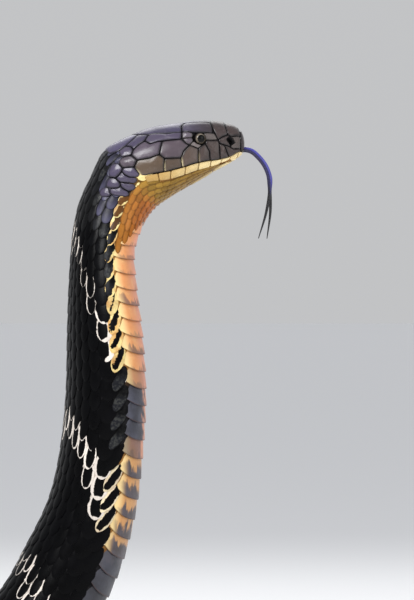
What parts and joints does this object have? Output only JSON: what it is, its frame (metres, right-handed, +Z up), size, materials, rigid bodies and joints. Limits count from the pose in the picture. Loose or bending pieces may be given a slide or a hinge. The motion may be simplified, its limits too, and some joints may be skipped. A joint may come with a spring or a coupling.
{
  "type": "king cobra",
  "caption": "Life-size king cobra rearing up with its head level and tongue out, the rest of its body lying in an open coil on the floor.",
  "frame": {"origin": "on the floor, under the flat of the belly a little behind where the body lifts off", "axes": "+Z up, +X the way the head points, -Y the animal's right side"},
  "size_m": [0.9203, 0.6749, 0.4132],
  "materials": {
    "head_shields": "smooth horny shields, grey-brown with a lavender sheen and black seams",
    "jaw_scales": "smooth scales, cream at the lip, golden and orange below",
    "eye": "wet gloss, dark iris with a round pupil",
    "tongue": "moist, blue-violet with black tines",
    "body_scales": "smooth overlapping scales, near black with narrow pale bands, orange and slate belly scutes on the neck"
  },
  "bodies": {
    "root": {"head": "head_shields", "lower_jaw": "jaw_scales", "eye_right": "eye", "eye_left": "eye", "tongue": "tongue", "hood_upper": "body_scales", "hood_lower": "body_scales", "rise": "body_scales", "trunk_1": "body_scales", "trunk_2": "body_scales", "trunk_3": "body_scales", "trunk_4": "body_scales", "trunk_5": "body_scales", "trunk_6": "body_scales", "trunk_7": "body_scales", "trunk_8": "body_scales", "trunk_9": "body_scales", "tail_1": "body_scales", "tail_2": "body_scales", "tail_3": "body_scales"}
  },
  "joints": []
}
